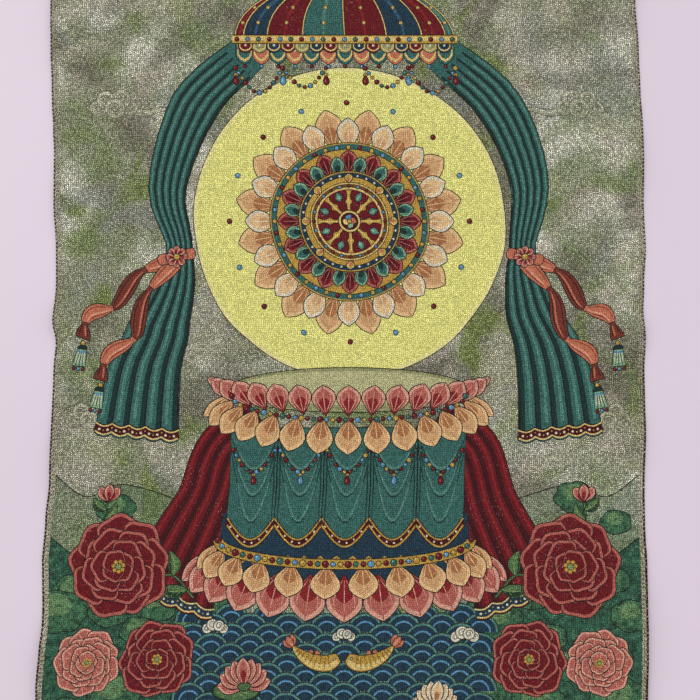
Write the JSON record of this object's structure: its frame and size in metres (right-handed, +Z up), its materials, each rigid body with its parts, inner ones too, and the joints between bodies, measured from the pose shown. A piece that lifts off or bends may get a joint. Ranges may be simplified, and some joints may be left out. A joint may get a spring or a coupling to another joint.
{
  "type": "woven thangka panel",
  "caption": "Flat woven brocade thangka panel with a thread edging round its cut sides, lying face up with soft fold creases and rippled sides.",
  "frame": {"origin": "on the surface that the panel lies on, under the middle of its bounding box", "axes": "+X to the picture's right, +Y towards the head of the picture, +Z up out of the face"},
  "size_m": [0.6049, 0.9, 0.0108],
  "materials": {
    "brocade": "jacquard weave with fine metallic speckle, grey-olive ground",
    "edging_thread": "dark maroon overlocked sewing thread"
  },
  "bodies": {
    "root": {"woven_cloth": "brocade", "edging_left": "edging_thread", "edging_right": "edging_thread", "edging_head": "edging_thread", "edging_foot": "edging_thread"}
  },
  "joints": []
}
